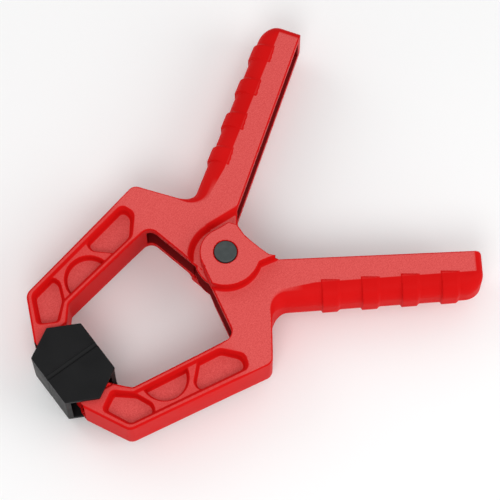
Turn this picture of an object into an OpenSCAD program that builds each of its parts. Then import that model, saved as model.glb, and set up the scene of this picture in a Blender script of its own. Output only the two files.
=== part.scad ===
// Hand spring clamp, lying on its side with the jaws closed.
// Two identical C-shaped levers turn on one pin, a torsion spring pushes their handles apart,
// and a swivel pad sits on each jaw tip.
// The pivot is the Z axis, the clamp's middle line is the X axis, and the handles point to +X.

/* [Levers] */
// Thickness of a lever's jaw, body and handle
lever_t = 24; // [23:0.5:25]
// Distance from the pivot to the shoulder, along the clamp
shoulder_x = 14; // [13:0.5:15]
// Distance from the middle line to the shoulder
shoulder_y = 56.2; // [55:0.2:58]
// Distance from the pivot to the corner at the jaw's tip, along the clamp
knuckle_x = 87.6; // [86:0.2:89]
// Slope of the jaw's outer edge, in degrees
jaw_outer_slope = 10.7; // [10:0.1:11.5]
// Slope of the jaw's inner edge, in degrees
jaw_inner_slope = 9.1; // [8.5:0.1:9.6]
// Height of the jaw's inner edge above the pivot, measured at the pivot
jaw_inner_y = 37.7; // [37:0.1:38.4]

/* [Handles] */
// Angle of the handle's outer edge from the middle line, in degrees
grip_outer_angle = 32.6; // [32:0.1:33.2]
// Angle of the handle's inner edge from the middle line, in degrees
grip_inner_angle = 34.3; // [34:0.1:34.6]
// Distance from the pivot to the end of a handle
grip_reach = 123; // [118:1:128]
// Radius of the rounding along the handle's outer edge
grip_round = 9; // [8:0.1:9.5]
// Height of the finger ribs
rib_h = 1.2; // [0.8:0.1:1.5]
// Number of finger ribs on a handle
rib_count = 4; // [3:1:4]
// Distance from one finger rib to the next
rib_pitch = 19.2; // [18:0.2:19.4]

/* [Hub] */
// Thickness of the whole hub, across both outer cheeks
hub_t = 37; // [36:0.5:38]
// Radius of an outer cheek on the other lever's side
cheek_r = 12.5; // [12:0.1:12.5]
// Radius of an outer cheek on its own lever's side
boss_r = 17; // [16.8:0.1:17.4]
// Radius of an inner cheek
inner_cheek_r = 15; // [14.6:0.1:15]
// Width of the hollow between a lever's two walls
hollow_w = 14; // [13.4:0.2:14]
// Diameter of the pivot pin
pin_d = 8; // [7:0.5:8]
// Diameter of the pin's head
pin_head_d = 10.8; // [10:0.1:11.5]

/* [Pads] */
// Length of a pad along the clamp
pad_l = 29; // [28.6:0.1:29.6]
// Thickness of a pad
pad_t = 29; // [28.6:0.2:30]
// Height of a pad at its ends
pad_end_h = 13.8; // [13:0.2:14.4]
// Height of a pad at its peak
pad_peak_h = 21.6; // [21:0.2:22]

/* [Spring] */
// Diameter of the spring wire
wire_d = 3; // [2.6:0.1:3]
// Angle of a spring leg from the middle line, in degrees
leg_angle = 46.5; // [45:0.5:47]

/* [Hidden] */
$fn = 96;
arc_step = 15;                      // largest turn between two points of a rounded corner
slack = 1;                          // how far a cutter passes the face that it cuts
turn_gap = 0.3;                     // gap between faces of the two levers
face_z = lever_t / 2;
hub_z = hub_t / 2;
hollow_z = hollow_w / 2;
inner_cheek_z = face_z - 2.5;       // outer face of an inner cheek
outer_cheek_z = inner_cheek_z + turn_gap;
recess_r = inner_cheek_r + 0.6;     // recess round an inner cheek, where the outer cheek turns
big = 200;                          // longer than any part of the clamp

// Pads and the jaw tips inside them
pad_x = 90;                         // distance from the pivot to the pads' studs, along the clamp
stud_y = 11.5;
stud_r = 3;
stud_h = 1.5;
stud_gap = 0.05;
tongue_r = 7.6;                     // round end of the jaw inside the pad
pad_wall = 2.5;
pad_base = 3.5;
pad_gap = 0.1;                      // between the closed pads
pad_side_gap = 0.2;                 // between a pad's cheek and the jaw's face
pad_chamfer = [2.2, 1.1];           // on one gripping edge: along the end face, and in from the face
throat_wall_h = 13.3;               // height of a pad's wall on the throat's side

// Pockets in the jaw's faces
rim_w = 2.6;
panel_depth = 1.5;
pocket_depth = 5.5;

recess_slope = 0.96;                // run of the recess's sloping edge for each millimetre of height

// Finger ribs
rib_l = 9.2;
first_rib = 44.5;                   // along the handle, from the point abreast of the pivot
rib_face_h = 0.5;                   // how far a rib stands above the handle's face
rib_overlap = 1.5;                  // how far a rib runs in over the handle's face

// Pin, its cap and the sleeve
head_gap = 0.3;
seat_gap = 0.1;                     // under the pin's head and over each stud
head_proud = 0.5;
head_h = 2.2;
seat_h = head_h - head_proud + seat_gap;        // seat of the head or the cap, in an outer cheek
seat_r = pin_head_d / 2 + head_gap;
pin_gap = 0.05;
sleeve_d = 13;
sleeve_l = hollow_w - 0.2;

// Spring
coil_r = 8.6;
coil_pitch = wire_d + 0.1;
whole_turns = 3;
leg_foot = 14;                      // end of a leg, which lies along the handle's wall
grip_wall = 5.5;
end_round = 5;
crease = 0.15;                      // a rounding meets its faces at a faint crease
fade_steps = 4;                     // steps in which the handle's rounding fades out
fade_part = 0.95;                   // part of the heel corner that these steps cover
fade_overlap = 4;                   // turn by which each of these steps starts early

// ---- plane geometry ----
function on(p, a, d) = p + d * [cos(a), sin(a)];
function cross2(u, v) = u[0] * v[1] - u[1] * v[0];
// Corner where the line through p at angle a meets the line through q at angle b
function meet(p, a, q, b) = on(p, a, cross2(q - p, [cos(b), sin(b)]) / sin(b - a));
function unit(v) = v / norm(v);
function corner(p, r = 0) = [p[0], p[1], r];
function flat(c) = [c[0], c[1]];

// Points of an arc of radius r that rounds the corner b between a and c
function corner_arc(a, b, c, r) =
    let (u = unit(a - b), v = unit(c - b), half = acos(u * v) / 2,
         m = b + unit(u + v) * r / sin(half),
         s = b + u * r / tan(half) - m, e = b + v * r / tan(half) - m,
         turn = (180 - 2 * half) * sign(cross2(s, e)),
         steps = max(2, ceil(abs(turn) / arc_step)))
    [for (i = [0 : steps]) on(m, atan2(s[1], s[0]) + turn * i / steps, r)];

// Outline through corners given as [x, y, radius]
function rounded(c) =
    let (n = len(c))
    [for (i = [0 : n - 1])
        each (c[i][2] == 0 ? [flat(c[i])]
            : corner_arc(flat(c[(i + n - 1) % n]), flat(c[i]), flat(c[(i + 1) % n]), c[i][2]))];

// ---- main corners of a lever, drawn above the middle line ----
grip_angle = (grip_outer_angle + grip_inner_angle) / 2;
back_slope = 53.7;
tip_slope = 64;
throat_lean = 102.5;
tip_inner_slope = 48.5;
grip_outer_off = 25.7;              // distance from the pivot to the handle's outer edge
grip_inner_off = 2.6;               // distance from the pivot to the handle's inner edge
throat_x = 12.75;                   // where the back of the throat crosses the middle line

shoulder = [-shoulder_x, shoulder_y];
outer_on = on([0, 0], grip_outer_angle + 90, grip_outer_off);
inner_on = on([0, 0], grip_inner_angle + 90, grip_inner_off);
grip_end = on([0, 0], grip_angle, grip_reach);
knuckle = meet(shoulder, jaw_outer_slope, [-knuckle_x, 0], 90);
heel = meet(shoulder, -back_slope, outer_on, grip_outer_angle);
heel_r = 8;
end_outer = meet(outer_on, grip_outer_angle, grip_end, grip_angle + 90);
end_inner = meet(inner_on, grip_inner_angle, grip_end, grip_angle + 90);
throat_top = meet([-throat_x, 0], throat_lean, [0, jaw_inner_y], jaw_inner_slope);
tip_inner = meet([0, jaw_inner_y], jaw_inner_slope, [-74, 0], 90);
stud = [-pad_x, stud_y];
tip_outer_low = on(knuckle, tip_slope + 180, 29.2);
tip_inner_low = on(tip_inner, tip_inner_slope + 180, 9.6);
grip_root = on(inner_on, grip_inner_angle, 24.9);

// ---- lever ----
module lever_outline() {
    polygon(rounded([corner(tip_inner_low), corner(tip_inner, 3), corner(throat_top, 5),
        corner([-throat_x, 0]), corner([10, 4]), corner(grip_root), corner(end_inner, 1.5),
        corner(end_outer, 9), corner(heel, heel_r), corner(shoulder, 4.5), corner(knuckle, 5),
        corner(tip_outer_low)]));
}

// Round end of the jaw, inside the pad
module tongue_outline() {
    polygon(concat([tip_inner_low, tip_outer_low],
        [for (a = [150 : arc_step : 390]) on(stud, a, tongue_r)]));
}

// Outer cheek, with its own lever above the middle line
module outer_cheek_outline() {
    circle(cheek_r);
    intersection() {
        circle(boss_r);
        polygon([[-throat_x, 0], on([-throat_x, 0], throat_lean, 30), [20, 30], [20, 16],
            [16, 13.2], [14.5, 8.2], [0, 0]]);
    }
    polygon([[0, 0], [3, -11.9], [10.2, -11.4], [12.8, -8], [12.5, -1], [13.2, 2.4], [14.5, 8.2],
        [16, 13.2], [18.5, 15.8], [11, 14], [0, 12]]);
}

// Hollow between the two walls, open to the throat and to the other handle
module hollow_outline() {
    wall_on = on([0, 0], grip_outer_angle + 90, grip_outer_off - grip_wall);
    back_on = on(shoulder, back_slope + 180, 5.2);
    polygon(rounded([corner([-26, 28]), corner([-22.5, 33.5], 2), corner([-17.5, 45.5], 3),
        corner(meet([-17.5, 45.5], 60, back_on, -back_slope), 2),
        corner(meet(back_on, -back_slope, wall_on, grip_outer_angle), heel_r),
        corner(meet(wall_on, grip_outer_angle, on(grip_end, grip_angle, -5), grip_angle + 90), 5),
        corner(on(end_inner, grip_angle, -5) + [4, -6]), corner([20, 0]), corner([10, -20]),
        corner([-18, -10])]));
}

// Cuts both edges of a face to a rounding of radius r; x is the depth into the face
module edge_cutter(r, reach) {
    for (side = [0, 1])
        mirror([0, side]) difference() {
            translate([-r, face_z - r]) square([r + reach, r + slack]);
            translate([-r, face_z - r]) circle(r + crease);
        }
}

// Rounding along the handle's outer edge, fading out in steps round the heel corner
module grip_rounding() {
    half = (180 - back_slope - grip_outer_angle) / 2;
    middle = heel + unit(unit(shoulder - heel) + unit(end_outer - heel)) * heel_r / sin(half);
    start = heel + unit(end_outer - heel) * heel_r / tan(half);
    turn = (180 - 2 * half) * fade_part / fade_steps;
    translate(start)
        rotate([90, 0, grip_outer_angle + 90])
            linear_extrude(grip_reach) edge_cutter(grip_round, heel_r);
    for (i = [1 : fade_steps])
        translate(middle)
            rotate(grip_outer_angle - 90 - turn * i)
                rotate_extrude(angle = turn * i + fade_overlap)
                    mirror([1, 0])
                        translate([-heel_r, 0])
                            edge_cutter(grip_round * (1 - (i - 0.5) / fade_steps), heel_r - 1);
}

// Rounding across the end of the handle
module end_rounding() {
    translate(grip_end)
        rotate([90, 0, grip_angle])
            linear_extrude(big, center = true) edge_cutter(end_round, heel_r);
}

// Half section of a rib: it follows the rounded edge and runs in over the handle's face
module rib_section() {
    intersection() {
        union() {
            translate([-grip_round, face_z - grip_round]) circle(grip_round + rib_h);
            translate([-grip_round, 0]) square([grip_round + rib_h, face_z - grip_round]);
            translate([-grip_round - rib_overlap, 0])
                square([rib_overlap + slack, face_z + rib_face_h]);
        }
        translate([-grip_round - rib_overlap, 0])
            square([grip_round + rib_overlap + rib_h, face_z + rib_face_h]);
    }
}

module finger_ribs() {
    for (i = [0 : rib_count - 1])
        translate(on(outer_on, grip_outer_angle, first_rib + i * rib_pitch))
            rotate([90, 0, grip_outer_angle + 90])
                linear_extrude(rib_l) {
                    rib_section();
                    mirror([0, 1]) rib_section();
                }
}

// Pocket outlines in the jaw's face
panel_floor = on([0, jaw_inner_y], jaw_inner_slope + 90, rim_w);
panel_roof = on(shoulder, jaw_outer_slope - 90, rim_w);

module panel_outline() {
    polygon(rounded([corner(meet(panel_floor, jaw_inner_slope, [-82, 21], tip_inner_slope), 2),
        corner([-30, 35.4], 4), corner([-22, 44.5], 4), corner([-24.5, 51.2], 3),
        corner(meet(panel_roof, jaw_outer_slope, on(knuckle, tip_slope + 180, 0) + [rim_w, -1],
            tip_slope), 4),
        corner([-92, 26.5], 2), corner([-83, 21.3], 2)]));
}

module tip_pocket_outline() {
    polygon(rounded([corner([-91.3, 26.4], 2.5), corner([-83, 21.9], 2.5), corner([-74.2, 29.5], 5),
        corner([-70.8, 37.6], 5), corner([-72.3, 42], 2.5), corner([-85.4, 39.6], 4)]));
}

module middle_pocket_outline() {
    intersection() {
        translate([-59, 30.8]) circle(11.6, $fn = 48);
        translate(on([0, jaw_inner_y], jaw_inner_slope + 90, rim_w + 0.6))
            rotate(jaw_inner_slope) translate([-big / 2, 0]) square([big, 40]);
    }
}

module body_pocket_outline() {
    polygon(rounded([corner([-42, 34], 1.5), corner([-30, 35.9], 5), corner([-22.6, 44.8], 5.5),
        corner([-25.2, 50.6], 3.5), corner([-50.2, 46], 3), corner([-49.6, 41], 4)]));
}

module jaw_pockets() {
    translate([0, 0, face_z - panel_depth]) linear_extrude(big) panel_outline();
    translate([0, 0, face_z - pocket_depth]) linear_extrude(big) {
        tip_pocket_outline();
        middle_pocket_outline();
        body_pocket_outline();
    }
}

// Room for the other lever's outer cheek, beside the inner cheek
module cheek_recess() {
    cut_h = face_z - inner_cheek_z + slack;
    edge_start = [2.7, 15.9];
    translate([0, 0, inner_cheek_z]) {
        cylinder(h = cut_h, r1 = recess_r, r2 = recess_r + recess_slope * cut_h);
        linear_extrude(big) polygon([[0, 0], [30, -6], [30, 13.6], [17, 14.8], edge_start]);
        translate(edge_start) rotate([90, 0, 90 - 4.8])
            linear_extrude(30) polygon([[0, 0], [recess_slope * cut_h, cut_h], [-slack, cut_h], [-slack, 0]]);
    }
}

// A lever above the middle line, with its outer cheek below and its inner cheek on top
module lever() {
    difference() {
        union() {
            difference() {
                translate([0, 0, -face_z]) linear_extrude(lever_t) {
                    lever_outline();
                    tongue_outline();
                }
                grip_rounding();
                end_rounding();
            }
            finger_ribs();
            translate([0, 0, hollow_z])
                cylinder(h = inner_cheek_z - hollow_z, r = inner_cheek_r);
            translate([0, 0, -hub_z])
                linear_extrude(hub_z - outer_cheek_z) outer_cheek_outline();
        }
        translate([0, 0, -hollow_z]) linear_extrude(hollow_w) hollow_outline();
        translate([0, 0, -outer_cheek_z])
            cylinder(h = outer_cheek_z - hollow_z + slack, r = inner_cheek_r + turn_gap);
        cheek_recess();
        jaw_pockets();
        mirror([0, 0, 1]) jaw_pockets();
        cylinder(h = big, r = pin_d / 2 + pin_gap, center = true);
        translate([0, 0, -hub_z - slack]) cylinder(h = seat_h + slack, r = seat_r);
    }
    translate([stud[0], stud[1], -face_z - stud_h])
        cylinder(h = lever_t + 2 * stud_h, r = stud_r);
}

module upper_lever() {
    color("crimson") translate([0, 0, hub_z]) lever();
}

module lower_lever() {
    color("crimson") translate([0, 0, hub_z]) rotate([180, 0, 0]) lever();
}

// ---- pads ----
module pad() {
    left = -pad_x - pad_l / 2;
    right = -pad_x + pad_l / 2;
    socket_z = face_z + stud_h + seat_gap;
    difference() {
        translate([0, 0, -pad_t / 2])
            linear_extrude(pad_t)
                polygon([[left, pad_gap / 2], [right, pad_gap / 2], [right, pad_end_h],
                    [-pad_x, pad_peak_h], [left, pad_end_h]]);
        translate([left + pad_wall, pad_base, -face_z - pad_side_gap])
            cube([pad_l - 2 * pad_wall, big, lever_t + 2 * pad_side_gap]);
        translate([-pad_x, throat_wall_h, -face_z - pad_side_gap])
            cube([pad_l, big, lever_t + 2 * pad_side_gap]);
        translate([stud[0], stud[1], -socket_z]) cylinder(h = 2 * socket_z, r = stud_r + stud_gap);
        translate([left - slack, pad_gap / 2, pad_t / 2])
            rotate([90, 0, 90])
                linear_extrude(pad_l + 2 * slack)
                    polygon([[0, -pad_chamfer[1]], [pad_chamfer[0], 0], [pad_chamfer[0], slack],
                        [-slack, slack], [-slack, -pad_chamfer[1]]]);
    }
}

module upper_pad() {
    color("dimgray") translate([0, 0, hub_z]) pad();
}

module lower_pad() {
    color("dimgray") translate([0, 0, hub_z]) rotate([180, 0, 0]) pad();
}

// ---- pin, cap and sleeve ----
module pivot_pin() {
    color("slategray") {
        translate([0, 0, seat_h])
            cylinder(h = hub_t + head_proud - head_h - seat_h + slack, d = pin_d);
        translate([0, 0, hub_t + head_proud - head_h]) cylinder(h = head_h, d = pin_head_d);
    }
}

module pin_retainer() {
    color("slategray") cylinder(h = seat_h, r = seat_r);
}

module spring_sleeve() {
    color("gainsboro") translate([0, 0, hub_z - sleeve_l / 2]) difference() {
        cylinder(h = sleeve_l, d = sleeve_d);
        translate([0, 0, -slack]) cylinder(h = sleeve_l + 2 * slack, d = pin_d + 2 * pin_gap);
    }
}

// ---- spring ----
coil_turn = 360 * whole_turns + 2 * (180 - leg_angle - 90);
coil_top = coil_pitch * coil_turn / 720;
leg_start = on([0, 0], leg_angle + 90, coil_r);
foot_off = grip_outer_off - grip_wall - wire_d / 2 - 0.2;
leg_end = meet(leg_start, leg_angle, on([0, 0], grip_outer_angle + 90, foot_off),
    grip_outer_angle);
leg_bend = 4;

function raise(points, z) = [for (p = points) [p[0], p[1], z]];
function flip(points) = [for (i = [len(points) - 1 : -1 : 0]) [points[i][0], -points[i][1]]];
upper_leg = concat([for (t = [0.25, 0.6]) leg_start + t * (leg_end - leg_start)],
    corner_arc(leg_start, leg_end, on(leg_end, grip_outer_angle, leg_foot), leg_bend),
    [on(leg_end, grip_outer_angle, leg_foot)]);
coil_steps = 66;
coil = [for (i = [0 : coil_steps])
    let (a = -leg_angle - 90 - coil_turn * i / coil_steps)
    [coil_r * cos(a), coil_r * sin(a), coil_top * (2 * i / coil_steps - 1)]];
spring_path = concat(raise(flip(upper_leg), -coil_top), coil, raise(upper_leg, coil_top));

// Tube of round wire along a path that never runs straight up
wire_sides = 10;
module wire(path, d) {
    last = len(path) - 1;
    rings = [for (i = [0 : last])
        let (t = unit(path[min(i + 1, last)] - path[max(i - 1, 0)]),
             side = unit(cross(t, [0, 0, 1])), up = cross(side, t))
        each [for (k = [0 : wire_sides - 1])
            path[i] + d / 2 * (cos(360 * k / wire_sides) * side + sin(360 * k / wire_sides) * up)]];
    walls = [for (i = [0 : last - 1], k = [0 : wire_sides - 1])
        let (a = i * wire_sides + k, b = i * wire_sides + (k + 1) % wire_sides)
        [a, b, b + wire_sides, a + wire_sides]];
    caps = [[for (k = [wire_sides - 1 : -1 : 0]) k],
        [for (k = [0 : wire_sides - 1]) last * wire_sides + k]];
    polyhedron(rings, concat(walls, caps));
}

module torsion_spring() {
    color("silver") translate([0, 0, hub_z]) wire(spring_path, wire_d);
}

upper_lever();
lower_lever();
upper_pad();
lower_pad();
pivot_pin();
pin_retainer();
spring_sleeve();
torsion_spring();
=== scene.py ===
import math

import bpy
import numpy as np
from mathutils import Matrix, Vector


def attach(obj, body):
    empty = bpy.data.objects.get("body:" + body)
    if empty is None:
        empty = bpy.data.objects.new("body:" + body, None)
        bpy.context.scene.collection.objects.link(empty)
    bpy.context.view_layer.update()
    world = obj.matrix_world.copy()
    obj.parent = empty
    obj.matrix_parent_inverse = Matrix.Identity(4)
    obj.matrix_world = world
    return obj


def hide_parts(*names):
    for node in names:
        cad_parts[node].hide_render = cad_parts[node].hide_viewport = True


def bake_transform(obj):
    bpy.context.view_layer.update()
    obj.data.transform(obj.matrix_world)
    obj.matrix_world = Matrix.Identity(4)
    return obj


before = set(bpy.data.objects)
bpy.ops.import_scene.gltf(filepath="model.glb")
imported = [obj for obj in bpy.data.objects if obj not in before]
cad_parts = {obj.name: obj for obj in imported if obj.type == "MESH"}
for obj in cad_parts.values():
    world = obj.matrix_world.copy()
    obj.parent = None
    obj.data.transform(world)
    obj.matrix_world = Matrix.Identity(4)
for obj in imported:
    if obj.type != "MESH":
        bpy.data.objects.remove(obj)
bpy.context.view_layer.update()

# Sizes are in millimetres, apart from the floor's, the lights' and the camera's, which are in
# metres like the frame. The pivot is the Z axis, and the handles point to +X.
MM = 0.001
HUB_Z = 18.5  # middle of the hub, above the face that the clamp rests on
FACE_Z = 12.0  # from the middle plane to a lever's faces


# ---- plane geometry ----
def heading(angle):
    a = math.radians(angle)
    return np.array([math.cos(a), math.sin(a)])


def along(point, angle, distance):
    return np.array(point, float) + distance * heading(angle)


def meet(p, a, q, b):
    """Corner where the line through p at angle a meets the line through q at angle b."""
    u, v = heading(a), heading(b)
    w = np.array(q, float) - p
    return p + u * (w[0] * v[1] - w[1] * v[0]) / math.sin(math.radians(b - a))


def rounded(corners, step=7.0):
    """Outline through corners given as (x, y) or (x, y, radius). A rounding has a point about
    every step degrees."""
    out = []
    for i, corner in enumerate(corners):
        at = np.array(corner[:2], float)
        if len(corner) < 3:
            out.append(at)
            continue
        radius = corner[2]
        before = np.array(corners[i - 1][:2], float)
        after = np.array(corners[(i + 1) % len(corners)][:2], float)
        u = (before - at) / np.linalg.norm(before - at)
        v = (after - at) / np.linalg.norm(after - at)
        half = math.acos(float(u @ v)) / 2
        middle = at + (u + v) / np.linalg.norm(u + v) * radius / math.sin(half)
        start = at + u * radius / math.tan(half) - middle
        finish = at + v * radius / math.tan(half) - middle
        turn = math.degrees(math.pi - 2 * half) * np.sign(start[0] * finish[1] - start[1] * finish[0])
        first = math.degrees(math.atan2(start[1], start[0]))
        n = max(2, math.ceil(abs(turn) / step))
        out += [middle + radius * heading(first + turn * k / n) for k in range(n + 1)]
    return out


# ---- distance fields, negative inside ----
def outline(points, x, y):
    """Distance from a closed outline, by its nearest side."""
    x, y = np.broadcast_arrays(x, y)
    near, inside = np.full(x.shape, 1e9), np.zeros(x.shape, bool)
    for i, (bx, by) in enumerate(points):
        ax, ay = points[i - 1]
        ex, ey = bx - ax, by - ay
        wx, wy = x - ax, y - ay
        t = np.clip((wx * ex + wy * ey) / (ex * ex + ey * ey), 0, 1)
        near = np.minimum(near, (wx - ex * t) ** 2 + (wy - ey * t) ** 2)
        if ay != by:
            inside ^= ((ay > y) != (by > y)) & (wx < ex * wy / ey)
    return np.where(inside, -1, 1) * np.sqrt(near)


def slab(d, z, half, r):
    """Outline distance d drawn out to half its thickness each way, its edges rounded by r."""
    a, b = d + r, np.abs(z) - half + r
    return np.minimum(np.maximum(a, b), 0) + np.hypot(np.maximum(a, 0), np.maximum(b, 0)) - r


def soft_max(a, b, k):
    """The greater of two fields, with the corner where they meet rounded over about k."""
    h = np.clip(0.5 - 0.5 * (b - a) / k, 0, 1)
    return b + (a - b) * h + k * h * (1 - h)


def soft_min(a, b, k):
    return -soft_max(-a, -b, k)


def ramp(t):
    """0 below 0 and 1 above 1, with a smooth rise between."""
    t = np.clip(t, 0, 1)
    return t * t * (3 - 2 * t)


# ---- main lines and corners of a lever, drawn above the middle line ----
# angles of the handle's outer edge, its inner edge and the line between them
GRIP, GRIP_IN, GRIP_MID = 32.6, 34.3, 33.45
# angles of the back, the jaw's outer and inner edges, and the tip's outer and inner edges
BACK, JAW_OUT, JAW_IN, TIP, TIP_IN = -53.7, 10.7, 9.1, 64.0, 48.5
THROAT_ON, THROAT_ANGLE = np.array([-12.75, 0.0]), 102.5
JAW_IN_ON = np.array([0, 37.7])
SHOULDER = np.array([-14.0, 56.2])
# how far the handle's edges pass from the pivot, and how far the handle reaches
GRIP_OUT_BY, GRIP_IN_BY, GRIP_REACH = 25.7, 2.6, 123.0
OUTER_ON = along((0, 0), GRIP + 90, GRIP_OUT_BY)
INNER_ON = along((0, 0), GRIP_IN + 90, GRIP_IN_BY)
GRIP_END = along((0, 0), GRIP_MID, GRIP_REACH)
KNUCKLE = meet(SHOULDER, JAW_OUT, (-87.6, 0), 90)
HEEL = meet(SHOULDER, BACK, OUTER_ON, GRIP)
END_OUTER = meet(OUTER_ON, GRIP, GRIP_END, GRIP_MID + 90)
END_INNER = meet(INNER_ON, GRIP_IN, GRIP_END, GRIP_MID + 90)
THROAT_TOP = meet(THROAT_ON, THROAT_ANGLE, JAW_IN_ON, JAW_IN)
TIP_INNER = meet(JAW_IN_ON, JAW_IN, (-74, 0), 90)
HEEL_R, END_R = 8.0, 9.0

TIP_OUTER_LOW = along(KNUCKLE, TIP + 180, 29.2)
TIP_INNER_LOW = along(TIP_INNER, TIP_IN + 180, 9.6)
LEVER = rounded([
    TIP_INNER_LOW, (*TIP_INNER, 3), (*THROAT_TOP, 5), THROAT_ON, (10, 4),
    along(INNER_ON, GRIP_IN, 24.9), (*END_INNER, 1.5), (*END_OUTER, END_R), (*HEEL, HEEL_R),
    (*SHOULDER, 4.5), (*KNUCKLE, 5), TIP_OUTER_LOW])

# the stud that holds the pad, and the jaw's round end about it
STUD, STUD_R, STUD_HALF = np.array([-90.0, 11.5]), 3.0, 13.5
TONGUE = [TIP_INNER_LOW, TIP_OUTER_LOW] + [along(STUD, a, 7.5) for a in range(150, 391, 8)]

# the hollow between the two side walls, open to the throat and to the other handle
HOLLOW_HALF = 7.0
SPRING_WALL = 20.2  # how far the inside of the handle's outer wall passes from the pivot
END_WALL, BACK_WALL = 5.0, 5.2
WALL_ON = along((0, 0), GRIP + 90, SPRING_WALL)
BACK_ON = along(SHOULDER, BACK - 90, BACK_WALL)
END_ON = along(GRIP_END, GRIP_MID, -END_WALL)
HOLLOW_TOP = np.array([-17.5, 45.5])
HOLLOW = rounded([
    (-26, 28), (-22.5, 33.5, 2), (*HOLLOW_TOP, 3), (*meet(HOLLOW_TOP, 60, BACK_ON, BACK), 2),
    (*meet(BACK_ON, BACK, WALL_ON, GRIP), HEEL_R), (*meet(WALL_ON, GRIP, END_ON, GRIP_MID + 90), 5),
    along(END_INNER, GRIP_MID, -END_WALL) + [4, -6], (20, 0), (10, -20), (-18, -10)])

# at the pivot: the outer cheek is a disc, a boss towards the lever's body and a web on the side of
# the handles, and the recess is where the other lever's outer cheek turns
CHEEK_R, BOSS_R, INNER_CHEEK_R, BORE_R = 12.4, 17.0, 15.0, 4.1
SEAT_R, SEAT = 5.7, 1.8  # round sink for the pin's head or cap
INNER_CHEEK_GAP = 0.35  # left round the other lever's inner cheek
RECESS_R, RECESS_FLOOR, RECESS_SLOPE = 15.6, 9.5, 0.96
RECESS_STEEP = 0.72  # turns the slope's field back into about a distance
BOSS = [THROAT_ON, along(THROAT_ON, THROAT_ANGLE, 30), (20, 30), (20, 16), (16, 13.2), (14.5, 8.2), (0, 0)]
WEB = [(0, 0), (3, -11.9), (10.2, -11.4), (12.8, -8), (12.5, -1), (13.2, 2.4), (14.5, 8.2), (16, 13.2),
       (18.5, 15.8), (11, 14), (0, 12)]
RECESS_WEB = [(0, 0), (30, -6), (30, 13.6), (17, 14.8), (2.7, 15.9)]

# the jaw's recessed panel and its three pockets
RIM, PANEL_DEPTH, POCKET_DEPTH = 2.6, 1.45, 5.4
FLOOR_ON = along(JAW_IN_ON, JAW_IN + 90, RIM)
ROOF_ON = along(SHOULDER, JAW_OUT - 90, RIM)
PANEL = rounded([
    (*meet(FLOOR_ON, JAW_IN, (-82, 21), TIP_IN), 2), (-30, 35.4, 4), (-22, 44.5, 4), (-24.5, 51.2, 3),
    (*meet(ROOF_ON, JAW_OUT, KNUCKLE + [RIM, -1], TIP), 4), (-92, 26.5, 2), (-83, 21.3, 2)])
TIP_POCKET = rounded([(-91.3, 26.4, 2.5), (-83, 21.9, 2.5), (-74.2, 29.5, 5), (-70.8, 37.6, 5),
                      (-72.3, 42, 2.5), (-85.4, 39.6, 4)])
BODY_POCKET = rounded([(-42, 34, 1.5), (-30, 35.9, 5), (-22.6, 44.8, 5.5), (-25.2, 50.6, 3.5),
                       (-50.2, 46, 3), (-49.6, 41, 4)])
MOON, MOON_R = np.array([-59.0, 30.8]), 11.6

# finger ribs: the first one's place along the handle, their pitch, length and count, and how far
# out from the pivot's line their inner ends lie, with the slope of those ends
RIB_FIRST, RIB_PITCH, RIB_LONG, RIBS = 44.5, 19.2, 9.2, 4
RIB_IN, RIB_LEAN = 15.1, 0.08

# where the handle's smooth rounding starts, as far out, at the neck and along the rest
NECK_SMOOTH, GRIP_SMOOTH = 18.3, 16.4


def grip_edge(x, y):
    """Distance past the handle's outer edge, round the heel corner and the handle's end, and the
    radius of the rounding there."""
    slim, full, end_full = 0.9, 9.0, 5.0
    outward = heading(GRIP + 90)
    far = (x - OUTER_ON[0]) * outward[0] + (y - OUTER_ON[1]) * outward[1]
    # heel corner, a hollow one: the rounding fades out round it
    half = (180 + BACK - GRIP) / 2
    to_shoulder, to_end = heading(BACK + 180), heading(GRIP)
    way = (to_shoulder + to_end) / np.linalg.norm(to_shoulder + to_end)
    middle = HEEL + way * HEEL_R / math.sin(math.radians(half))
    facing = math.atan2(-way[1], -way[0])
    rx, ry = x - middle[0], y - middle[1]
    turned = np.arctan2(ry, rx) - facing
    turned = (turned + math.pi) % (2 * math.pi) - math.pi
    span = math.radians(90 - half)
    back_out = heading(BACK + 90)
    back = (x - SHOULDER[0]) * back_out[0] + (y - SHOULDER[1]) * back_out[1]
    sector = HEEL_R - np.hypot(rx, ry)
    heel_d = np.where(turned > span, far, np.where(turned < -span, back, sector))
    heel_r = slim + (full - slim) * ramp((turned + span) / (2 * span))
    heel_r = np.where(np.abs(turned) > math.pi * 0.75, slim, heel_r)
    # corner at the end of the handle: a is the way out from its edge, b from its end
    end_out = heading(GRIP_MID)
    corner = meet(OUTER_ON - outward * END_R, GRIP, GRIP_END - end_out * END_R, GRIP_MID + 90)
    a = (x - corner[0]) * outward[0] + (y - corner[1]) * outward[1]
    b = (x - corner[0]) * end_out[0] + (y - corner[1]) * end_out[1]
    a_past, b_past = np.maximum(a, 0), np.maximum(b, 0)
    end_d = np.hypot(a_past, b_past) + np.minimum(np.maximum(a, b), 0) - END_R
    share = np.where(a_past + b_past > 0, np.arctan2(a_past, b_past + 1e-9) / (math.pi / 2),
                     np.where(a > b, 1.0, 0.0))
    end_r = end_full + (full - end_full) * ramp(share)
    along_grip = x * to_end[0] + y * to_end[1]
    return (np.where(along_grip < 60, heel_d, end_d), np.where(along_grip < 60, heel_r, end_r))


def rib_height(x, y):
    """How far the finger ribs lift the handle's skin."""
    u = x * heading(GRIP)[0] + y * heading(GRIP)[1]
    n = x * heading(GRIP + 90)[0] + y * heading(GRIP + 90)[1]
    total = 0.0
    for i in range(RIBS):
        s = u - RIB_FIRST - i * RIB_PITCH
        band = ramp(s / 0.5) * (1 - ramp((s - RIB_LONG + 1.8) / 1.8))
        inner = ramp((n - RIB_IN - RIB_LEAN * s) / 0.5)
        total = total + band * inner * (0.42 + 0.7 * ramp((n - 17) / 7))
    return total


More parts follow.
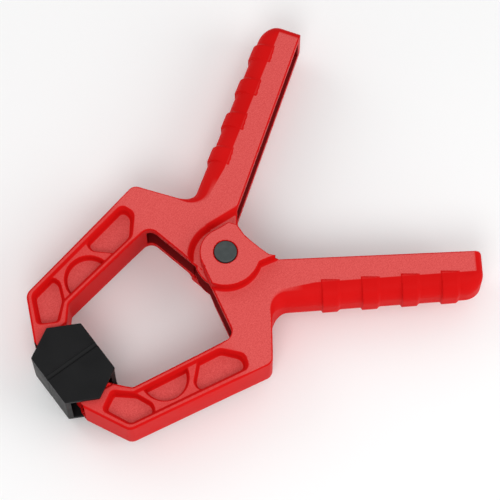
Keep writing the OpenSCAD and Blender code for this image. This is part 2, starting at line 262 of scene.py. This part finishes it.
def face_pockets(x, y, z):
    """The jaw's recessed panel and its three pockets, in the face at +z."""
    depth = FACE_Z - z
    panel = soft_max(outline(PANEL, x, y) + 0.3 * depth, depth - PANEL_DEPTH, 0.8)
    inward = heading(JAW_IN + 90)
    bar = along(JAW_IN_ON, JAW_IN + 90, RIM + 0.6)
    moon = np.maximum(np.hypot(x - MOON[0], y - MOON[1]) - MOON_R,
                      -((x - bar[0]) * inward[0] + (y - bar[1]) * inward[1]))
    holes = np.minimum(np.minimum(outline(TIP_POCKET, x, y), outline(BODY_POCKET, x, y)), moon)
    return soft_min(panel, soft_max(holes + 0.13 * depth, depth - POCKET_DEPTH, 1.0), 0.7)


def lever_field(x, y, z):
    """A lever above the middle line, with its outer cheek below and its inner cheek on top."""
    edge, edge_r = grip_edge(x, y)
    plan = outline(LEVER, x, y)
    rim_r = 0.8 + 0.6 * ramp((-22 - x) / 12)
    body = np.maximum(slab(plan, z, FACE_Z, rim_r), slab(edge, z, FACE_Z, edge_r))
    body = body - rib_height(x, y)
    body = np.minimum(body, slab(outline(TONGUE, x, y), z, FACE_Z, 0.6))
    r = np.hypot(x, y)
    boss = np.maximum(r - BOSS_R, outline(BOSS, x, y))
    cheek = np.minimum(np.minimum(r - CHEEK_R, boss), outline(WEB, x, y))
    inner = slab(r - INNER_CHEEK_R, z - 8.25, 1.25, 0.25)
    shape = soft_min(body, slab(cheek, z + 14.15, 4.35, 0.7), 1.8)
    shape = np.minimum(shape, inner)
    shape = soft_max(shape, -slab(outline(HOLLOW, x, y), z, HOLLOW_HALF, 0.8), 0.5)
    # room for the other lever's inner cheek, and for its outer one in the recess
    inner_room = np.maximum(r - INNER_CHEEK_R - INNER_CHEEK_GAP, np.abs(z + 8.2) - 1.6)
    shape = soft_max(shape, -inner_room, 0.15)
    notch = np.minimum(r - RECESS_R, outline(RECESS_WEB, x, y))
    rise = z - RECESS_FLOOR
    shape = soft_max(shape, -soft_max(RECESS_STEEP * (notch - RECESS_SLOPE * rise), -rise, 0.6), 1.2)
    # pockets in both faces
    shape = soft_max(shape, -face_pockets(x, y, z), 1.0)
    shape = soft_max(shape, -face_pockets(x, y, -z), 1.0)
    # bore, and the seat of the pin's head or cap
    shape = soft_max(shape, BORE_R - r, 0.1)
    shape = soft_max(shape, -np.maximum(r - SEAT_R, z + HUB_Z - SEAT), 0.35)
    stud = slab(np.hypot(x - STUD[0], y - STUD[1]) - STUD_R, z, STUD_HALF, 0.3)
    return np.minimum(shape, stud)


PAD_HALF = 14.5  # half a pad's thickness and half its length
PAD_GRIP, PAD_END, PAD_PEAK = 0.05, 13.8, 21.6  # heights of its gripping face, ends and peak
PAD_LEFT, PAD_RIGHT = STUD[0] - PAD_HALF, STUD[0] + PAD_HALF
PAD = rounded([(PAD_LEFT, PAD_GRIP), (PAD_RIGHT, PAD_GRIP), (PAD_RIGHT, PAD_END, 0.8),
               (STUD[0], PAD_PEAK, 0.8), (PAD_LEFT, PAD_END, 0.8)], 12)


def pad_field(x, y, z):
    """A pad above the middle line, where it grips."""
    shape = slab(outline(PAD, x, y), z, PAD_HALF, 0.45)
    run, fall = 2.2, 1.1  # bevel on one gripping edge
    bevel = ((z - PAD_HALF + fall) * run - (y - PAD_GRIP) * fall) / math.hypot(run, fall)
    shape = soft_max(shape, bevel, 0.15)
    # the fine groove where the bevel starts
    shape = soft_max(shape, 0.5 - np.hypot(y - 2.5, z - PAD_HALF), 0.1)
    # the slot that the jaw's tip fits in
    wall = np.maximum(np.abs(x - STUD[0]) - 12.0, 3.5 - y)
    slot = np.maximum(np.minimum(wall, np.maximum(13.3 - y, STUD[0] - x)), np.abs(z) - 12.2)
    shape = soft_max(shape, -slot, 0.5)
    stud_hole = np.hypot(x - STUD[0], y - STUD[1]) - STUD_R - 0.05
    return np.maximum(shape, -np.maximum(stud_hole, np.abs(z) - STUD_HALF - 0.1))


# ---- mesh of a distance field ----
CORNERS = np.array([(i, j, k) for i in (0, 1) for j in (0, 1) for k in (0, 1)])
EDGES = [(a, b) for a in range(8) for b in range(a + 1, 8) if abs(CORNERS[a] - CORNERS[b]).sum() == 1]


def sampled(grid, places):
    """Values of grid at fractional places, joined up straight between the grid's own."""
    base = np.clip(places.astype(int), 0, np.array(grid.shape) - 2)
    t = places - base
    out = 0.0
    for c in CORNERS:
        w = np.prod(np.where(c, t, 1 - t), axis=1)
        out = out + w * grid[tuple((base + c).T)]
    return out


def values_at(field, points):
    """The field at each point, worked out in parts to save memory."""
    return np.concatenate([np.asarray(field(*(w[:, None, None] for w in part.T)), float).ravel()
                           for part in np.array_split(points, 8)])


def skin(field, low, high, step):
    """Points and quads of the surface where field is 0."""
    axes = [np.arange(a - 2.3 * step, b + 2.7 * step, step) for a, b in zip(low, high)]
    x, y, z = (a.reshape([-1 if i == k else 1 for k in range(3)]) for i, a in enumerate(axes))
    d = np.asarray(field(x, y, z), np.float32)
    within = d < 0
    n = [k - 1 for k in d.shape]
    # one point in each cell that the surface crosses, in the middle of its crossings
    count = np.zeros(n, np.int8)
    for c in CORNERS:
        count += within[tuple(slice(int(o), int(o) + m) for o, m in zip(c, n))]
    cells = np.argwhere((count > 0) & (count < 8))
    index = np.full(n, -1)
    index[tuple(cells.T)] = np.arange(len(cells))
    values = np.stack([d[tuple((cells + c).T)] for c in CORNERS], 1).astype(float)
    total, hits = np.zeros((len(cells), 3)), np.zeros(len(cells))
    for a, b in EDGES:
        va, vb = values[:, a], values[:, b]
        cross = (va < 0) != (vb < 0)
        t = np.where(cross, va / np.where(cross, va - vb, 1), 0)[:, None]
        total += np.where(cross[:, None], CORNERS[a] + t * (CORNERS[b] - CORNERS[a]), 0)
        hits += cross
    places = cells + total / hits[:, None]
    # a quad round each grid edge with one end within and one end out
    quads = []
    for k in range(3):
        ahead = np.zeros(3, int)
        ahead[k] = 1
        core = [slice(1, m) for m in n]
        core[k] = slice(0, n[k])
        moved = [slice(q.start + int(o), q.stop + int(o)) for q, o in zip(core, ahead)]
        a, b = within[tuple(core)], within[tuple(moved)]
        at = np.argwhere(a != b) + [q.start for q in core]
        out = within[tuple(at.T)]
        i, j = (k + 1) % 3, (k + 2) % 3
        ei, ej = np.eye(3, dtype=int)[i], np.eye(3, dtype=int)[j]
        ring = [index[tuple((at - o).T)] for o in (ei + ej, ej, 0 * ei, ei)]
        quad = np.stack(ring, 1)
        quad[~out] = quad[~out][:, ::-1]
        quads.append(quad)
    # two steps down the slope bring the points onto the surface
    slopes = np.gradient(d)
    origin = np.array([a[0] for a in axes])
    for _ in range(2):
        g = np.stack([sampled(q, places) for q in slopes], 1) / step
        v = values_at(field, origin + places * step)
        shift = v[:, None] * g / np.maximum((g * g).sum(1, keepdims=True), 0.3)
        places = places - np.clip(shift, -0.4 * step, 0.4 * step) / step
    return origin + places * step, np.concatenate(quads)


def thin(obj, ratio):
    """Leaves about this share of a mesh's faces."""
    modifier = obj.modifiers.new("thin", "DECIMATE")
    modifier.ratio = ratio
    modifier.use_collapse_triangulate = True
    graph = bpy.context.evaluated_depsgraph_get()
    thinned = bpy.data.meshes.new_from_object(obj.evaluated_get(graph))
    obj.modifiers.clear()
    full = obj.data
    obj.data = thinned
    bpy.data.meshes.remove(full)


def mesh_object(name, points, faces, place, material):
    mesh = bpy.data.meshes.new(name)
    mesh.from_pydata([tuple(p) for p in points], [], [tuple(f) for f in faces])
    mesh.transform(place)
    mesh.update()
    obj = bpy.data.objects.new(name, mesh)
    bpy.context.scene.collection.objects.link(obj)
    mesh.materials.append(material)
    mesh.polygons.foreach_set("use_smooth", [True] * len(mesh.polygons))
    return obj


def moulded(name, field, low, high, step, ratio, material):
    """A finished piece of a distance field, in its own frame and in metres. Its normals are the
    field's slopes, so that thinning the mesh doesn't show."""
    points, quads = skin(field, low, high, step)
    obj = mesh_object(name, points, quads.tolist(), Matrix.Scale(MM, 4), material)
    thin(obj, ratio)
    mesh = obj.data
    mesh.polygons.foreach_set("use_smooth", [True] * len(mesh.polygons))
    co = np.zeros(len(mesh.vertices) * 3)
    mesh.vertices.foreach_get("co", co)
    p = co.reshape(-1, 3) / MM
    g = np.zeros_like(p)
    for k in range(3):
        for sign in (-1, 1):
            q = p.copy()
            q[:, k] += sign * 0.12
            g[:, k] += sign * values_at(field, q)
    g /= np.maximum(np.linalg.norm(g, axis=1, keepdims=True), 1e-9)
    # read by the nylon: places in the piece's own frame, and what lies inside the hollow, which the nylon
    # paints with a dark shade
    own = mesh.attributes.new("own_place", "FLOAT_VECTOR", "POINT")
    own.data.foreach_set("vector", p.astype(np.float32).ravel())
    # painted shade: points on the walls inside the hollow, which the nylon darkens to stand in for the
    # shade in there
    hollow = (outline(HOLLOW, p[:, 0], p[:, 1]) < 0.4) & (np.abs(p[:, 2]) < HOLLOW_HALF + 0.4)
    inside = mesh.attributes.new("inside", "FLOAT", "POINT")
    inside.data.foreach_set("value", hollow.astype(np.float32))
    mesh.normals_split_custom_set_from_vertices([tuple(v) for v in g])
    return obj


def placed(obj, name, place):
    """A copy of a finished piece, moved into the clamp."""
    mesh = obj.data.copy()
    mesh.transform(place)
    new = bpy.data.objects.new(name, mesh)
    bpy.context.scene.collection.objects.link(new)
    return new


# ---- materials ----
def surface(name):
    """A material with an empty Principled shader, its node tree and that shader."""
    mat = bpy.data.materials.new(name)
    mat.use_nodes = True
    tree = mat.node_tree
    tree.nodes.clear()
    out = tree.nodes.new("ShaderNodeOutputMaterial")
    shader = tree.nodes.new("ShaderNodeBsdfPrincipled")
    tree.links.new(shader.outputs[0], out.inputs[0])
    return mat, tree, shader


def linear(*srgb):
    """A shader colour from three sRGB values of 0 to 255."""
    parts = [v / 255 for v in srgb]
    return tuple(c / 12.92 if c <= 0.04045 else ((c + 0.055) / 1.055) ** 2.4 for c in parts) + (1.0,)


def add(tree, kind, **settings):
    node = tree.nodes.new(kind)
    for key, value in settings.items():
        setattr(node, key, value)
    return node


def noise(tree, place, scale, detail=2.0, rough=0.5):
    node = add(tree, "ShaderNodeTexNoise")
    node.inputs["Scale"].default_value = scale
    node.inputs["Detail"].default_value = detail
    node.inputs["Roughness"].default_value = rough
    tree.links.new(place.outputs["Object"], node.inputs["Vector"])
    return node.outputs["Fac"]


def spread(tree, source, low, high, from_low=0.3, from_high=0.7):
    """Maps from_low..from_high, which is where most of a noise lies, to low..high."""
    node = add(tree, "ShaderNodeMapRange")
    for key, value in zip(("From Min", "From Max", "To Min", "To Max"), (from_low, from_high, low, high)):
        node.inputs[key].default_value = value
    tree.links.new(source, node.inputs["Value"])
    return node.outputs["Result"]


def mixed(tree, factor, a, b):
    """A colour from a, at 0, to b, at 1. Each is a colour or a socket."""
    node = add(tree, "ShaderNodeMix", data_type="RGBA")
    for socket, value in ((node.inputs[6], a), (node.inputs[7], b)):
        if isinstance(value, tuple):
            socket.default_value = value
        else:
            tree.links.new(value, socket)
    tree.links.new(factor, node.inputs[0])
    return node.outputs[2]


def clouded(tree, pattern, dark, light):
    """A colour that goes with a noise from one sRGB colour to another."""
    return mixed(tree, spread(tree, pattern, 0.0, 1.0), linear(*dark), linear(*light))


def calc(tree, operation, *values):
    """A shader sum of sockets and numbers."""
    node = add(tree, "ShaderNodeMath", operation=operation)
    for socket, value in zip(node.inputs, values):
        if isinstance(value, (int, float)):
            socket.default_value = value
        else:
            tree.links.new(value, socket)
    return node.outputs[0]


def times(tree, a, b):
    return calc(tree, "MULTIPLY", a, b)


def between(tree, value, low, high):
    return times(tree, calc(tree, "GREATER_THAN", value, low), calc(tree, "LESS_THAN", value, high))


def upright(tree, direction, low, high):
    """0 to 1 as a direction's slant from the Z axis falls, its Z part going from low to high."""
    parts = add(tree, "ShaderNodeSeparateXYZ")
    tree.links.new(direction, parts.inputs[0])
    return spread(tree, calc(tree, "ABSOLUTE", parts.outputs[2]), 0.0, 1.0, low, high)


def handle_smooth(tree, x, y):
    """1 on the handle's rounding and nearly so on its finger ribs, by their places."""
    ax, ay = (float(v) for v in heading(GRIP))
    # along the handle's outer edge, and out from the line through the pivot
    u = calc(tree, "ADD", times(tree, x, ax), times(tree, y, ay))
    n = calc(tree, "SUBTRACT", times(tree, y, ax), times(tree, x, ay))
    past = calc(tree, "SUBTRACT", n, spread(tree, u, NECK_SMOOTH, GRIP_SMOOTH, 28.0, 42.0))
    rounding = times(tree, spread(tree, past, 0.0, 1.0, -0.2, 0.2),
                     spread(tree, u, 0.0, 1.0, 24.0, 36.0))
    s = calc(tree, "MODULO", calc(tree, "SUBTRACT", u, RIB_FIRST), RIB_PITCH)
    rib = calc(tree, "GREATER_THAN", n, calc(tree, "MULTIPLY_ADD", s, RIB_LEAN, RIB_IN))
    rib = times(tree, rib, between(tree, s, 0.0, RIB_LONG))
    rib = times(tree, rib, between(tree, u, RIB_FIRST, RIB_FIRST + RIBS * RIB_PITCH))
    return calc(tree, "MAXIMUM", rounding, times(tree, rib, 0.85))


def grain_and_sheen(tree):
    """1 on a lever's level faces, less on the jaws, and 0 on roundings and finger ribs. It sets where the
    grain's roughness and bump go, and where the nylon paints a lighter, pinker sheen that stands in for the
    light's reflection off the grain.
    """
    own = add(tree, "ShaderNodeAttribute", attribute_name="own_place")
    axes = add(tree, "ShaderNodeSeparateXYZ")
    tree.links.new(own.outputs["Vector"], axes.inputs[0])
    x, y, z = axes.outputs
    height = calc(tree, "ABSOLUTE", z)
    # the main faces go by the mesh itself, so that a rounding's normals don't run out over them
    geometry = add(tree, "ShaderNodeNewGeometry")
    main = between(tree, height, FACE_Z - 0.03, FACE_Z + 0.03)
    on_main = times(tree, upright(tree, geometry.outputs["True Normal"], 0.975, 0.99), main)
    beside = times(tree, upright(tree, geometry.outputs["Normal"], 0.93, 0.985),
                   calc(tree, "SUBTRACT", 1.0, main))
    jaw = times(tree, between(tree, height, 9.0, 13.0), spread(tree, x, 1.0, 0.0, -34.0, -22.0))
    smooth = calc(tree, "MAXIMUM", handle_smooth(tree, x, y), times(tree, jaw, 0.4))
    return times(tree, calc(tree, "ADD", on_main, beside), calc(tree, "SUBTRACT", 1.0, smooth))


def bumped(tree, shader, layers):
    """Chains bumps given as (height, strength, distance in metres)."""
    last = None
    for height, strength, distance in layers:
        node = add(tree, "ShaderNodeBump")
        if isinstance(strength, float):
            node.inputs["Strength"].default_value = strength
        else:
            tree.links.new(strength, node.inputs["Strength"])
        node.inputs["Distance"].default_value = distance
        tree.links.new(height, node.inputs["Height"])
        if last is not None:
            tree.links.new(last, node.inputs["Normal"])
        last = node.outputs["Normal"]
    tree.links.new(last, shader.inputs["Normal"])


def nylon():
    mat, tree, shader = surface("red_nylon")
    place = add(tree, "ShaderNodeTexCoord")
    level = grain_and_sheen(tree)
    cloud = noise(tree, place, 28.0, 3.0)
    grain = noise(tree, place, 1700.0, 2.0, 0.6)
    side = clouded(tree, cloud, (202, 16, 16), (212, 22, 22))
    # painted sheen: the level faces get a lighter, pinker red than the sides, standing in for the broad
    # reflection of the light off their grain; the speckle from the grain noise is the grain's own
    face = clouded(tree, grain, (208, 68, 66), (226, 92, 89))
    # painted shade: the walls inside the hollow get a deep dark red in place of the lit red, standing in
    # for the shade in there
    inside = add(tree, "ShaderNodeAttribute", attribute_name="inside")
    outer = mixed(tree, level, side, face)
    red = mixed(tree, inside.outputs["Fac"], outer, linear(122, 5, 8))
    tree.links.new(red, shader.inputs["Base Color"])
    smooth = spread(tree, cloud, 0.36, 0.46)
    coarse = spread(tree, grain, 0.5, 0.62)
    rough = add(tree, "ShaderNodeMix")
    tree.links.new(level, rough.inputs[0])
    tree.links.new(smooth, rough.inputs[2])
    tree.links.new(coarse, rough.inputs[3])
    tree.links.new(rough.outputs[0], shader.inputs["Roughness"])
    bumped(tree, shader, [(grain, spread(tree, level, 0.08, 0.35, 0.0, 1.0), 0.0002),
                          (cloud, 0.15, 0.0006)])
    tree.links.new(spread(tree, level, 0.02, 0.2, 0.0, 1.0), shader.inputs["Specular IOR Level"])
    return mat


def pad_rubber():
    mat, tree, shader = surface("black_pad")
    place = add(tree, "ShaderNodeTexCoord")
    cloud = noise(tree, place, 60.0, 4.0)
    grain = noise(tree, place, 2300.0, 2.0)
    tree.links.new(clouded(tree, cloud, (19, 19, 20), (26, 26, 27)), shader.inputs["Base Color"])
    shader.inputs["Specular IOR Level"].default_value = 0.14
    tree.links.new(spread(tree, cloud, 0.42, 0.56), shader.inputs["Roughness"])
    bumped(tree, shader, [(grain, 0.12, 0.00015), (cloud, 0.12, 0.0004)])
    return mat


def dark_steel():
    mat, tree, shader = surface("oxide_steel")
    place = add(tree, "ShaderNodeTexCoord")
    cloud = noise(tree, place, 420.0, 4.0)
    fine = noise(tree, place, 3000.0, 2.0)
    tree.links.new(clouded(tree, cloud, (57, 63, 63), (65, 71, 71)), shader.inputs["Base Color"])
    shader.inputs["Metallic"].default_value = 0.2
    tree.links.new(spread(tree, cloud, 0.5, 0.56), shader.inputs["Roughness"])
    bumped(tree, shader, [(fine, 0.1, 0.0001)])
    return mat


def spring_steel():
    mat, tree, shader = surface("spring_wire")
    place = add(tree, "ShaderNodeTexCoord")
    cloud = noise(tree, place, 300.0, 3.0)
    fine = noise(tree, place, 3600.0, 2.0)
    tree.links.new(clouded(tree, cloud, (150, 150, 152), (178, 177, 175)), shader.inputs["Base Color"])
    shader.inputs["Metallic"].default_value = 0.9
    tree.links.new(spread(tree, cloud, 0.28, 0.42), shader.inputs["Roughness"])
    bumped(tree, shader, [(fine, 0.08, 0.0001)])
    return mat


def sleeve_plastic():
    mat, tree, shader = surface("natural_nylon")
    place = add(tree, "ShaderNodeTexCoord")
    cloud = noise(tree, place, 200.0, 3.0)
    tree.links.new(clouded(tree, cloud, (222, 219, 208), (232, 230, 221)), shader.inputs["Base Color"])
    tree.links.new(spread(tree, cloud, 0.4, 0.52), shader.inputs["Roughness"])
    bumped(tree, shader, [(cloud, 0.1, 0.0003)])
    return mat


def floor_paper():
    mat, tree, shader = surface("pale_floor")
    place = add(tree, "ShaderNodeTexCoord")
    cloud = noise(tree, place, 3.0, 2.0)
    tree.links.new(clouded(tree, cloud, (249, 249, 249), (252, 252, 252)), shader.inputs["Base Color"])
    shader.inputs["Roughness"].default_value = 0.85
    return mat


RED, BLACK, OXIDE = nylon(), pad_rubber(), dark_steel()
WIRE, NATURAL, PAPER = spring_steel(), sleeve_plastic(), floor_paper()


def fit(obj, body, slot, *nodes):
    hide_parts(*nodes)
    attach(obj, body)


# ---- levers and pads: each moulding is made once and placed twice ----
UPRIGHT = Matrix.Translation((0, 0, HUB_Z * MM))
TURNED = UPRIGHT @ Matrix.Rotation(math.pi, 4, "X")

# mesh steps, and the share of the faces that is kept
lever_step, lever_kept = ((0.6, 0.4))
pad_step, pad_kept = ((0.34, 0.35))
lever = moulded("lever_moulding", lever_field, (-97, -12, -HUB_Z), (103, 88, STUD_HALF),
                lever_step, lever_kept, RED)
pad = moulded("pad_moulding", pad_field, (PAD_LEFT, 0, -PAD_HALF), (PAD_RIGHT, PAD_PEAK, PAD_HALF),
              pad_step, pad_kept, BLACK)

fit(placed(lever, "lever_upper", UPRIGHT), "upper_half", "lever", "upper_lever")
fit(placed(lever, "lever_lower", TURNED), "lower_half", "lever", "lower_lever")
fit(placed(pad, "pad_upper", UPRIGHT), "upper_swivel", "pad", "upper_pad")
fit(placed(pad, "pad_lower", TURNED), "lower_swivel", "pad", "lower_pad")
for obj in (lever, pad):
    bpy.data.objects.remove(obj)


# ---- turned pieces ----
def turned(name, profile, material, sides=96):
    """A piece turned about the pivot, from a closed profile of (radius, height) points."""
    points, faces, rows = [], [], []
    for r, h in profile:
        if r == 0:
            rows.append([len(points)] * sides)
            points.append((0, 0, h))
        else:
            rows.append(list(range(len(points), len(points) + sides)))
            points += [(r * math.cos(2 * math.pi * k / sides), r * math.sin(2 * math.pi * k / sides), h)
                       for k in range(sides)]
    for i in range(len(rows) - 1):
        for k in range(sides):
            q = [rows[i][k], rows[i][(k + 1) % sides], rows[i + 1][(k + 1) % sides], rows[i + 1][k]]
            faces.append(list(dict.fromkeys(q)))
    obj = mesh_object(name, points, faces, Matrix.Scale(MM, 4), material)
    obj.data.set_sharp_from_angle(angle=math.radians(38))
    return obj


def arc(cx, cy, r, start, end, n=5):
    turns = [start + (end - start) * k / n for k in range(n + 1)]
    return [tuple(along((cx, cy), turn, r)) for turn in turns]


HEAD_TOP, HEAD_R, HEAD_H, PIN_R, PIN_FOOT = 37.5, 5.4, 2.2, 4.0, SEAT + 0.02
DISH = HEAD_TOP - 0.16  # the head's middle is sunk a little
under, over = 0.25, 0.55  # radii of the head's lower and upper edge
pin = turned("pin", [(0, PIN_FOOT), (PIN_R - 0.4, PIN_FOOT), (PIN_R, SEAT + 0.4),
                     (PIN_R, HEAD_TOP - HEAD_H)]
             + arc(HEAD_R - under, HEAD_TOP - HEAD_H + under, under, -90, 0, 3)
             + arc(HEAD_R - over, HEAD_TOP - over, over, 0, 90)
             + [(3.1, HEAD_TOP), (2.7, HEAD_TOP - 0.1), (1.2, DISH), (0, DISH)], OXIDE)
fit(pin, "upper_half", "pin", "pivot_pin")

CAP_R = 5.62
cap = turned("pin_cap", [(0, 0.12), (2.6, 0.12), (2.9, 0.0), (5.2, 0.0), (CAP_R, 0.35), (CAP_R, SEAT - 0.2),
                         (5.4, SEAT), (0, SEAT)], OXIDE)
fit(cap, "upper_half", "pin", "pin_retainer")

SLEEVE_IN, SLEEVE_OUT, SLEEVE_LOW, SLEEVE_TOP, CHAMFER = 4.05, 6.5, 11.6, 25.4, 0.3
sleeve = turned("sleeve", [
    (SLEEVE_IN, SLEEVE_LOW), (SLEEVE_OUT - CHAMFER, SLEEVE_LOW), (SLEEVE_OUT, SLEEVE_LOW + CHAMFER),
    (SLEEVE_OUT, SLEEVE_TOP - CHAMFER), (SLEEVE_OUT - CHAMFER, SLEEVE_TOP), (SLEEVE_IN, SLEEVE_TOP),
    (SLEEVE_IN, SLEEVE_LOW)], NATURAL, 64)
fit(sleeve, "upper_half", "sleeve", "spring_sleeve")

# ---- spring: three turns and a part, with a leg along the wall of each handle ----
WIRE_R, COIL_R, PITCH, LEG, FOOT = 1.5, 8.6, 3.1, 46.5, 14.0
COIL_TURN = 360 * 3 + 2 * (90 - LEG)
COIL_TOP = PITCH * COIL_TURN / 720  # half the coil's rise
COIL_POINTS = 220
leg_start = along((0, 0), LEG + 90, COIL_R)
leg_end = meet(leg_start, LEG, along((0, 0), GRIP + 90, SPRING_WALL - WIRE_R - 0.2), GRIP)
leg = rounded([leg_start, (*leg_end, 4.0), along(leg_end, GRIP, FOOT)], 3.0)
leg = [leg[0] + (leg[1] - leg[0]) * t for t in (0.12, 0.3, 0.5, 0.7, 0.85)] + leg[1:]
coil = [np.append(COIL_R * heading(-LEG - 90 - COIL_TURN * t), COIL_TOP * (2 * t - 1))
        for t in np.arange(COIL_POINTS + 1) / COIL_POINTS]
lower_leg = [np.array([x, -y, -COIL_TOP]) for x, y in reversed(leg)]
upper_leg = [np.array([x, y, COIL_TOP]) for x, y in leg]
path = np.array(lower_leg + coil + upper_leg)


def wire(name, path, r, material, sides=20):
    """A round wire along path, its ends broken off in a small chamfer."""
    tangent = np.gradient(path, axis=0)
    tangent /= np.linalg.norm(tangent, axis=1, keepdims=True)
    side = np.cross(tangent, [0, 0, 1.0])
    side /= np.linalg.norm(side, axis=1, keepdims=True)
    up = np.cross(side, tangent)
    rings, points, faces = [], [], []
    in_by, slim = 0.25, 0.82
    centres = [(path[0], 0, slim), (path[0] + tangent[0] * in_by, 0, 1.0)]
    centres += [(path[i], i, 1.0) for i in range(1, len(path) - 1)]
    centres += [(path[-1] - tangent[-1] * in_by, -1, 1.0), (path[-1], -1, slim)]
    for centre, i, share in centres:
        rings.append(list(range(len(points), len(points) + sides)))
        for k in range(sides):
            a = 2 * math.pi * k / sides
            points.append(centre + r * share * (math.cos(a) * side[i] + math.sin(a) * up[i]))
    for a, b in zip(rings, rings[1:]):
        for k in range(sides):
            faces.append([a[k], a[(k + 1) % sides], b[(k + 1) % sides], b[k]])
    faces.append(rings[0][::-1])
    faces.append(rings[-1])
    return mesh_object(name, points, faces, UPRIGHT @ Matrix.Scale(MM, 4), material)


spring = wire("spring", path, WIRE_R, WIRE)
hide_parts("torsion_spring")
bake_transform(spring)

# ---- floor, lights, camera ----
bpy.ops.mesh.primitive_plane_add(size=6.0, location=(0, 0, 0))
floor = bpy.context.object
floor.name = "floor"
floor.data.materials.append(PAPER)

world = bpy.data.worlds.new("studio")
world.use_nodes = True
sky = world.node_tree.nodes["Background"]
sky.inputs["Color"].default_value = (1.0, 1.0, 1.0, 1.0)
sky.inputs["Strength"].default_value = 0.66
bpy.context.scene.world = world


def lamp(name, place, size, power):
    """A round lamp that points at the pivot's foot."""
    data = bpy.data.lights.new(name, "AREA")
    data.shape = "DISK"
    data.size = size
    data.energy = power
    obj = bpy.data.objects.new(name, data)
    obj.location = place
    obj.rotation_mode = "QUATERNION"
    obj.rotation_quaternion = (-Vector(place)).to_track_quat("-Z", "Y")
    bpy.context.scene.collection.objects.link(obj)


lamp("key", (-0.5, -0.55, 0.95), 0.6, 3.8)
lamp("fill", (0.55, -0.75, 0.55), 0.7, 3.0)
lamp("rim", (-0.2, 0.8, 0.6), 0.6, 1.0)

# angles in degrees; the width that the picture takes in, and the camera's distance, in metres
ELEVATION, TURN, FIELD, DISTANCE = 70.96, 36.94, 0.24, 1.2
SENSOR = 36.0
e, f = math.radians(ELEVATION), math.radians(TURN)
right = Vector((math.cos(f), -math.sin(f), 0))
ahead = Vector((math.sin(f), math.cos(f), 0))
up = math.sin(e) * ahead + math.cos(e) * Vector((0, 0, 1))
towards = -math.cos(e) * ahead + math.sin(e) * Vector((0, 0, 1))
# the pivot lies a little to the left of the picture's middle
aim = Vector((0, 0, (HUB_Z + FACE_Z) * MM)) + 0.0117 * right + 0.00292 * up
cam = bpy.data.cameras.new("camera")
cam.lens = SENSOR * DISTANCE / FIELD
cam.sensor_width = SENSOR
cam.clip_start = 0.05
cam.clip_end = 20.0
camera = bpy.data.objects.new("camera", cam)
camera.matrix_world = Matrix((
    (right.x, up.x, towards.x, 0), (right.y, up.y, towards.y, 0), (right.z, up.z, towards.z, 0),
    (0, 0, 0, 1)))
camera.location = aim + DISTANCE * towards
bpy.context.scene.collection.objects.link(camera)
bpy.context.scene.camera = camera

scene = bpy.context.scene
scene.view_settings.view_transform = "Standard"
scene.view_settings.look = "None"
